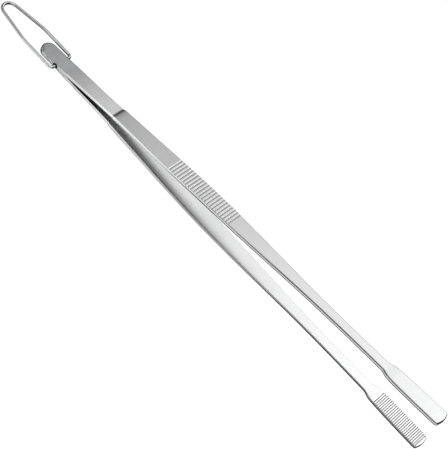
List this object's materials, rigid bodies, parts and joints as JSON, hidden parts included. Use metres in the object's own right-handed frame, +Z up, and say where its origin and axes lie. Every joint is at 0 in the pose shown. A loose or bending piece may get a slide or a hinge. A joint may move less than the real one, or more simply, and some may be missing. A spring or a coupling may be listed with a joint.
{
  "type": "aquascaping tweezers",
  "caption": "Long straight spring tweezers: slender blades welded at a rounded head, cross-grooved grip, flat grooved paddle tips and a swinging wire hanging bail.",
  "frame": {"origin": "centre of the tool's footprint, on the ground plane it lies on", "axes": "+X from the welded head to the paddle tips, +Y across the blades, +Z up, from the lower blade to the upper one"},
  "size_m": [0.3332, 0.0186, 0.0266],
  "materials": {
    "blade_steel": "satin, brushed across the width, with polished edges",
    "head_steel": "satin, slightly darker where it was welded and ground",
    "wire_steel": "drawn and polished wire"
  },
  "bodies": {
    "head": {"welded_head": "head_steel"},
    "upper_blade": {"upper_arm": "blade_steel"},
    "lower_blade": {"lower_arm": "blade_steel"},
    "bail": {"hanging_bail": "wire_steel"}
  },
  "joints": [
    {"name": "upper_arm_flex", "type": "hinge", "parent": "head", "child": "upper_blade", "pos_m": [-0.11087, 0, 0.00671], "axis": [0, 1, 0], "range_deg": [0, 2.25], "stiffness_Nm_per_rad": 15},
    {"name": "lower_arm_flex", "type": "hinge", "parent": "head", "child": "lower_blade", "pos_m": [-0.11079, 0, 0.00399], "axis": [0, -1, 0], "range_deg": [0, 2.25], "stiffness_Nm_per_rad": 15},
    {"name": "bail_swing", "type": "hinge", "parent": "head", "child": "bail", "pos_m": [-0.11933, 0, 0.00506], "axis": [0, 1, 0], "range_deg": [-172, 168]}
  ],
  "couplings": [
    {"joint": "lower_arm_flex", "follows": "upper_arm_flex", "ratio": 1}
  ]
}
